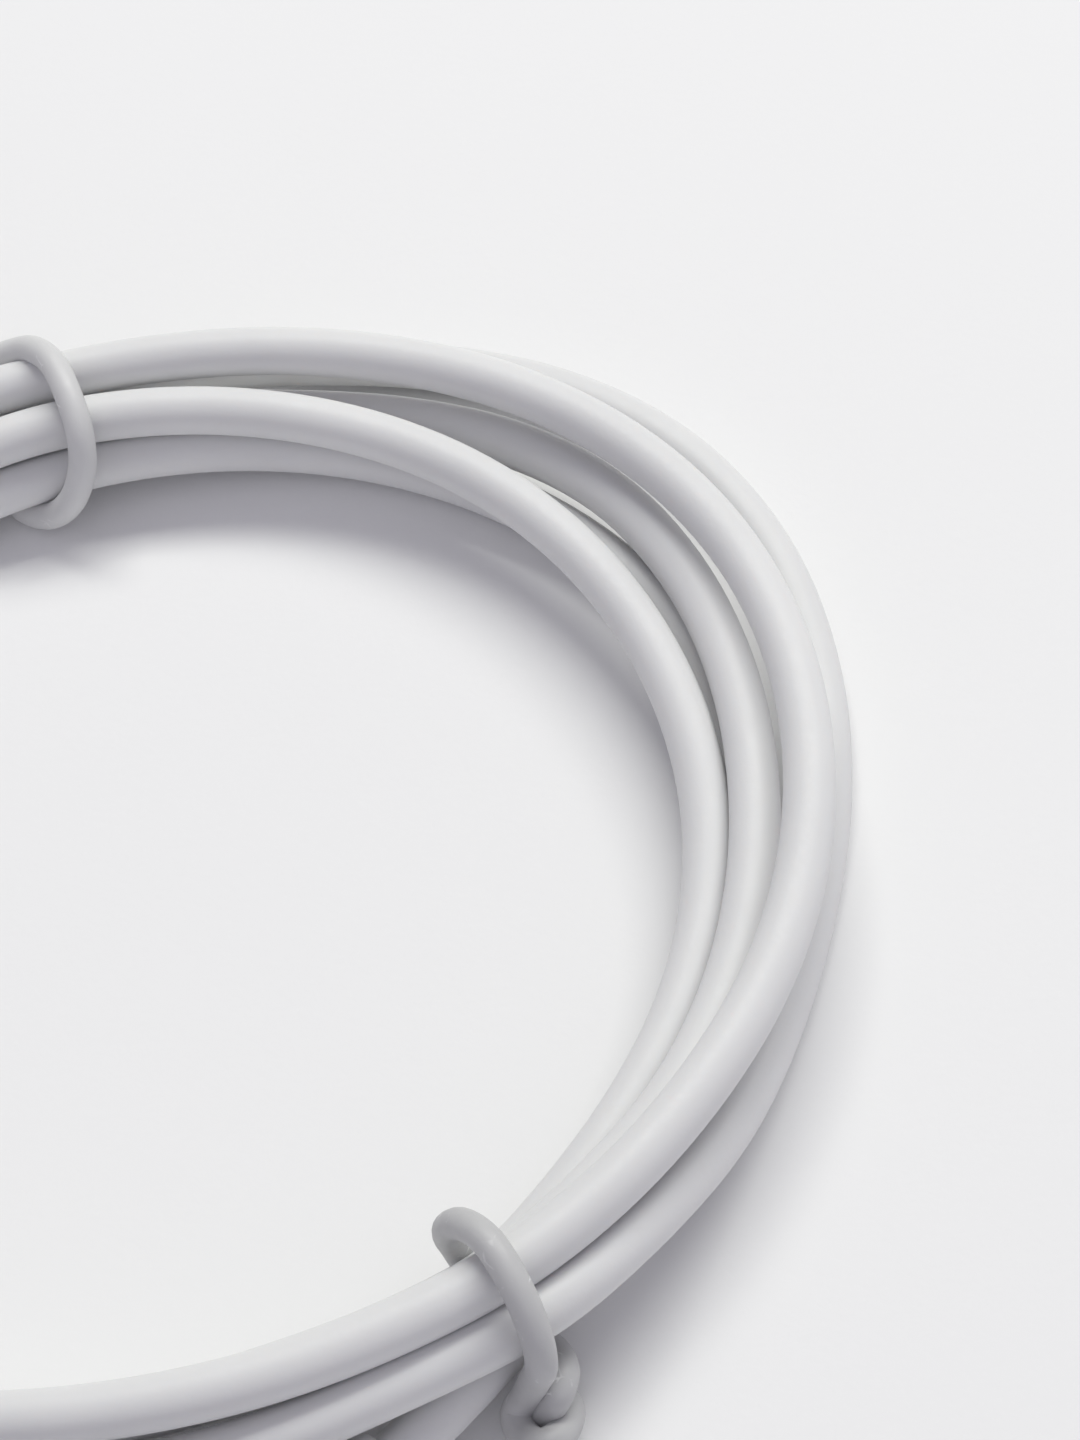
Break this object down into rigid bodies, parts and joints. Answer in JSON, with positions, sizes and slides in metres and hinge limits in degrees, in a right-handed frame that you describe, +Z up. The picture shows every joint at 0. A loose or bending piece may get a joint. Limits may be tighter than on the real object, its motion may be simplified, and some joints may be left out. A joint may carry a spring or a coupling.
{
  "type": "charging cable",
  "caption": "Thin round white charging cable wound into a loose coil, held by twist ties, with a flat reversible plug at each end.",
  "frame": {"origin": "centre of the coil, on the plane the cable lies on", "axes": "+Z up out of the coil, +X to the right and +Y away from the viewer when the tied side with the plug ends is near and to the left"},
  "size_m": [0.0939, 0.1008, 0.0122],
  "materials": {
    "cord_jacket": "smooth satin thermoplastic elastomer",
    "upper_tie_sleeve": "translucent greyish plastic coat",
    "lower_tie_sleeve": "translucent greyish plastic coat",
    "tie_core": "annealed steel wire",
    "plug_shell": "nickel-plated, drawn",
    "insulator": "glass-filled black plastic",
    "contacts": "gold-plated spring contacts",
    "latch": "stamped stainless spring",
    "ground_spring": "stamped stainless spring",
    "board": "green solder mask",
    "chip": "black moulded package",
    "resistor": "dark ceramic body",
    "wire_red": "red insulation",
    "wire_black": "black insulation",
    "wire_green": "green insulation",
    "wire_white": "white insulation",
    "rear_shield": "tinned sheet steel",
    "ferrule": "crimped brass",
    "inner_mould": "natural polyethylene",
    "housing": "white, satin gloss",
    "strain_relief": "white soft elastomer"
  },
  "bodies": {
    "cable": {"cord_coil": "cord_jacket", "cord_tail_a": "cord_jacket", "cord_tail_b": "cord_jacket", "upper_tie_sleeve": "upper_tie_sleeve", "upper_tie_core_wire": "tie_core", "lower_tie_sleeve": "lower_tie_sleeve", "lower_tie_core_wire": "tie_core", "plug_a_shell": "plug_shell", "plug_a_insulator": "insulator", "plug_a_upper_contacts": "contacts", "plug_a_lower_contacts": "contacts", "plug_a_ground_springs": "ground_spring", "plug_a_circuit_board": "board", "plug_a_marker_chip": "chip", "plug_a_resistor": "resistor", "plug_a_wire_power": "wire_red", "plug_a_wire_ground": "wire_black", "plug_a_wire_signal_a": "wire_green", "plug_a_wire_signal_b": "wire_white", "plug_a_rear_shield_upper": "rear_shield", "plug_a_rear_shield_lower": "rear_shield", "plug_a_crimp_ferrule": "ferrule", "plug_a_inner_mould": "inner_mould", "plug_a_housing": "housing", "plug_a_strain_relief": "strain_relief", "plug_b_shell": "plug_shell", "plug_b_insulator": "insulator", "plug_b_upper_contacts": "contacts", "plug_b_lower_contacts": "contacts", "plug_b_ground_springs": "ground_spring", "plug_b_circuit_board": "board", "plug_b_marker_chip": "chip", "plug_b_resistor": "resistor", "plug_b_wire_power": "wire_red", "plug_b_wire_ground": "wire_black", "plug_b_wire_signal_a": "wire_green", "plug_b_wire_signal_b": "wire_white", "plug_b_rear_shield_upper": "rear_shield", "plug_b_rear_shield_lower": "rear_shield", "plug_b_crimp_ferrule": "ferrule", "plug_b_inner_mould": "inner_mould", "plug_b_housing": "housing", "plug_b_strain_relief": "strain_relief"},
    "latch_a_left": {"plug_a_latch_left": "latch"},
    "latch_a_right": {"plug_a_latch_right": "latch"},
    "latch_b_left": {"plug_b_latch_left": "latch"},
    "latch_b_right": {"plug_b_latch_right": "latch"}
  },
  "joints": [
    {"name": "latch_a_left_flex", "type": "hinge", "parent": "cable", "child": "latch_a_left", "pos_m": [-0.01111, -0.05432, 0.0029], "axis": [0, 0, 1], "range_deg": [0, 1.8], "stiffness_Nm_per_rad": 0.01},
    {"name": "latch_a_right_flex", "type": "hinge", "parent": "cable", "child": "latch_a_right", "pos_m": [-0.01506, -0.04848, 0.0029], "axis": [0, 0, -1], "range_deg": [0, 1.8], "stiffness_Nm_per_rad": 0.01},
    {"name": "latch_b_left_flex", "type": "hinge", "parent": "cable", "child": "latch_b_left", "pos_m": [-0.04362, -0.01461, 0.0029], "axis": [0, 0, 1], "range_deg": [0, 1.8], "stiffness_Nm_per_rad": 0.01},
    {"name": "latch_b_right_flex", "type": "hinge", "parent": "cable", "child": "latch_b_right", "pos_m": [-0.05067, -0.01436, 0.0029], "axis": [0, 0, -1], "range_deg": [0, 1.8], "stiffness_Nm_per_rad": 0.01}
  ]
}
